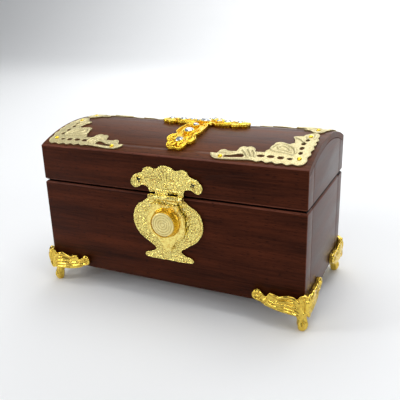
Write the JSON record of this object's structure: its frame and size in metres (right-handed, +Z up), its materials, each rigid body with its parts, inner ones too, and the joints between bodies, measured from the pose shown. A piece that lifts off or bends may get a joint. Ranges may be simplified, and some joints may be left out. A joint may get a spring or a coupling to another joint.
{
  "type": "tabernacle box",
  "caption": "Rectangular wooden casket with a hinged barrel lid, cast corner feet, openwork lid corners, a jewelled cross and a leaf hasp that closes over a vase-shaped catch plate.",
  "frame": {"origin": "on the floor, under the middle of the whole object's box", "axes": "+X along the box to its right end seen from the front, +Y to its back, +Z up"},
  "size_m": [0.206, 0.1094, 0.1245],
  "materials": {
    "stained_wood": "mahogany stain under satin lacquer",
    "bright_gilt": "bright gilt on die-cast and pressed metal",
    "champagne_gilt": "pale champagne gilt, semi-bright",
    "yellow_gilt": "deep yellow gilt, bright",
    "pale_brass": "satin pale brass",
    "plated_steel": "brass-plated steel",
    "crystal": "cut, clear"
  },
  "bodies": {
    "box": {"front_panel": "stained_wood", "back_panel": "stained_wood", "left_end_panel": "stained_wood", "right_end_panel": "stained_wood", "bottom_panel": "stained_wood", "foot_front_left": "bright_gilt", "foot_front_right": "bright_gilt", "foot_back_left": "bright_gilt", "foot_back_right": "bright_gilt", "catch_plate": "bright_gilt", "catch_plate_nail_left": "plated_steel", "catch_plate_nail_right": "plated_steel", "catch_plate_nail_bottom": "plated_steel", "catch_stud": "bright_gilt", "hinge_body_leaf_left": "plated_steel", "hinge_body_screw_left": "plated_steel", "hinge_pin_left": "plated_steel", "hinge_body_leaf_right": "plated_steel", "hinge_body_screw_right": "plated_steel", "hinge_pin_right": "plated_steel"},
    "lid": {"lid_front_rail": "stained_wood", "lid_back_rail": "stained_wood", "lid_left_end": "stained_wood", "lid_right_end": "stained_wood", "lid_top": "stained_wood", "corner_bracket_front_left": "champagne_gilt", "corner_bracket_front_right": "champagne_gilt", "corner_bracket_back_left": "champagne_gilt", "corner_bracket_back_right": "champagne_gilt", "bracket_nail_front_left_corner": "yellow_gilt", "bracket_nail_front_left_arm": "yellow_gilt", "bracket_nail_front_left_side": "yellow_gilt", "bracket_nail_front_right_corner": "yellow_gilt", "bracket_nail_front_right_arm": "yellow_gilt", "bracket_nail_front_right_side": "yellow_gilt", "bracket_nail_back_left_corner": "yellow_gilt", "bracket_nail_back_left_arm": "yellow_gilt", "bracket_nail_back_left_side": "yellow_gilt", "bracket_nail_back_right_corner": "yellow_gilt", "bracket_nail_back_right_arm": "yellow_gilt", "bracket_nail_back_right_side": "yellow_gilt", "cross": "yellow_gilt", "cross_crystal_centre": "crystal", "cross_crystal_right": "crystal", "cross_crystal_back": "crystal", "cross_crystal_left": "crystal", "cross_crystal_front": "crystal", "latch_plate": "bright_gilt", "latch_plate_screw_left": "plated_steel", "latch_plate_screw_right": "plated_steel", "hasp_pin": "plated_steel", "hinge_lid_leaf_left": "plated_steel", "hinge_lid_screw_left": "plated_steel", "hinge_lid_leaf_right": "plated_steel", "hinge_lid_screw_right": "plated_steel"},
    "hasp": {"hasp_strap": "bright_gilt", "hasp_button": "bright_gilt", "hasp_medallion": "pale_brass"}
  },
  "joints": [
    {"name": "lid_hinge", "type": "hinge", "parent": "box", "child": "lid", "pos_m": [0, 0.05255, 0.0825], "axis": [-1, 0, 0], "range_deg": [0, 105]},
    {"name": "hasp_hinge", "type": "hinge", "parent": "lid", "child": "hasp", "pos_m": [0.0035, -0.04915, 0.0816], "axis": [-1, 0, 0], "range_deg": [0, 150]}
  ]
}
